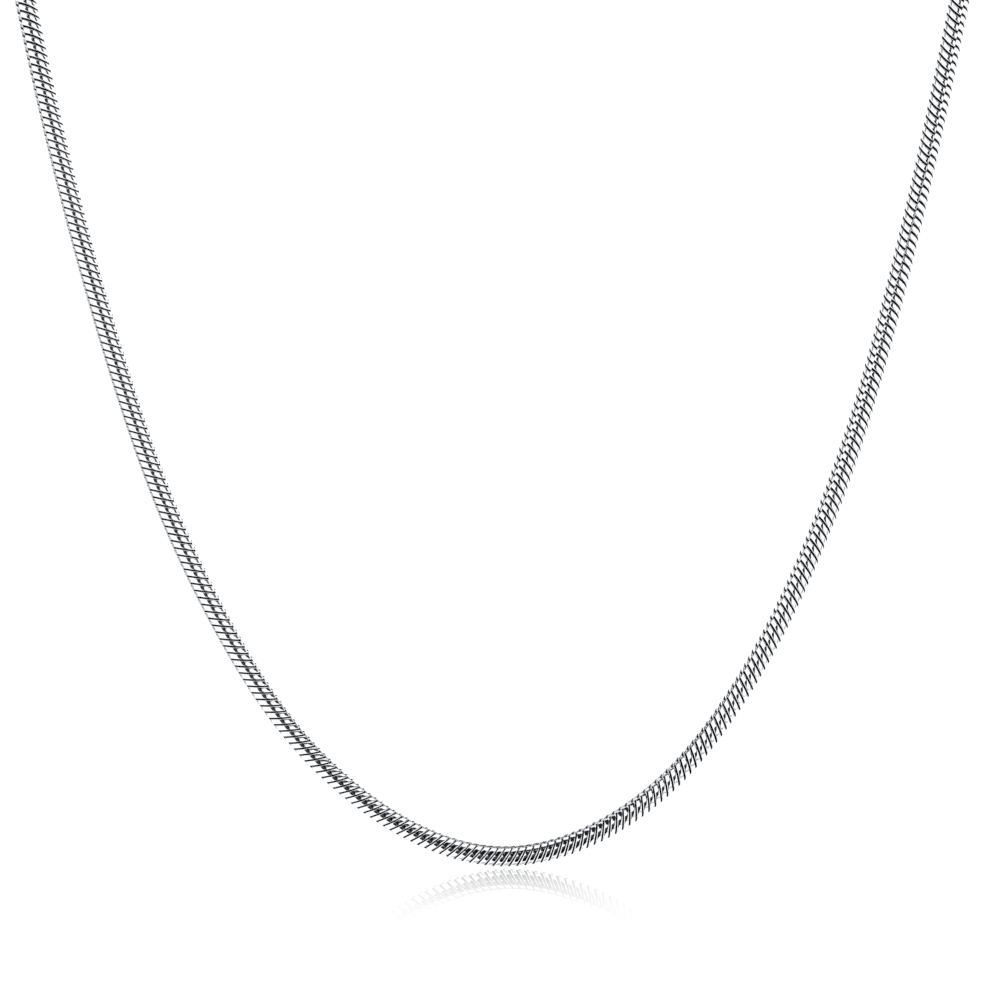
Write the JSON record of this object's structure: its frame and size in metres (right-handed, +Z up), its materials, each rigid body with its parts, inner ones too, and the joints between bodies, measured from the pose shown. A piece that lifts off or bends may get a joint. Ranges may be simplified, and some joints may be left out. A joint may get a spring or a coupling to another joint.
{
  "type": "snake chain necklace",
  "caption": "Closed snake chain necklace of polished silver links, hanging as worn, with a plain barrel clasp at the nape.",
  "frame": {"origin": "at the nape, on the axis of the clasp barrel and half way along it, where the necklace hangs on the back of the neck", "axes": "+Z up, -Y to the wearer's front, +X to the right in a front view"},
  "size_m": [0.1432, 0.1012, 0.157],
  "materials": {
    "chain": "polished silver links with dark gaps between them",
    "clasp": "polished silver barrel"
  },
  "bodies": {
    "root": {"chain": "chain", "clasp": "clasp"}
  },
  "joints": []
}
